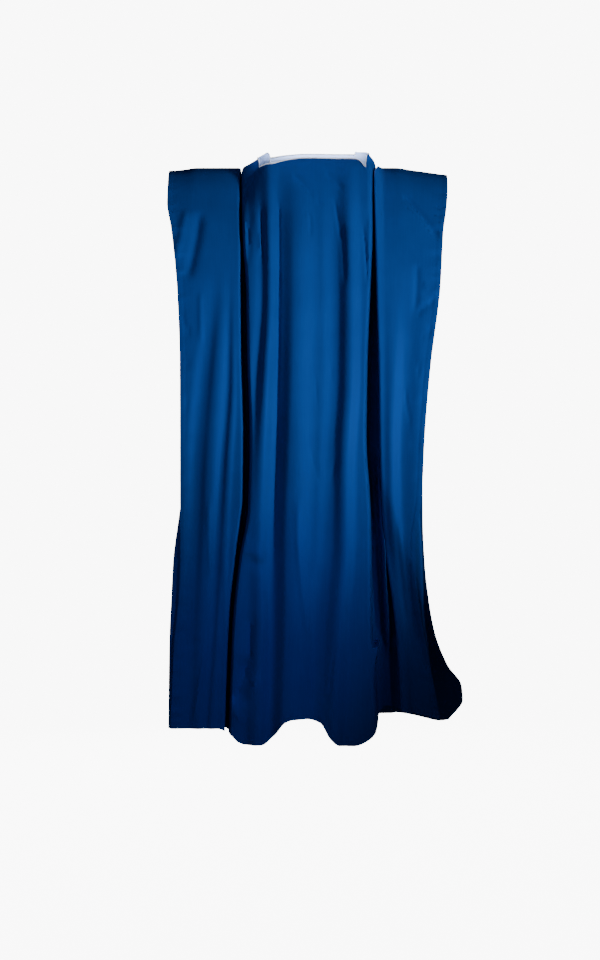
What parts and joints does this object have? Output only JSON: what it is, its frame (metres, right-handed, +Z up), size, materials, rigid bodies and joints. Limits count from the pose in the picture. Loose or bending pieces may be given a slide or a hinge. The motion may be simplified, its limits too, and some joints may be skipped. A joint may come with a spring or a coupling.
{
  "type": "grand boubou robe",
  "caption": "Wide straight-cut over-robe, worn and empty, with long sleeves folded up on the shoulders, a V neck and a light neck band.",
  "frame": {"origin": "on top of the shoulders, midway between the two folded sleeves, where the wearer or a hanger holds the robe up", "axes": "+Z up along the body, -Y the way the wearer faces, +X the wearer's left"},
  "size_m": [0.6397, 0.3467, 1.2425],
  "materials": {
    "robe": "smooth royal blue polished cotton with a soft satin sheen",
    "band": "pale blue-white cotton band with a brighter stitched edge"
  },
  "bodies": {
    "root": {"back_panel": "robe", "front_panel": "robe", "sleeve_left": "robe", "sleeve_right": "robe", "neck_band_back": "band", "neck_band_left": "band", "neck_band_right": "band"}
  },
  "joints": []
}
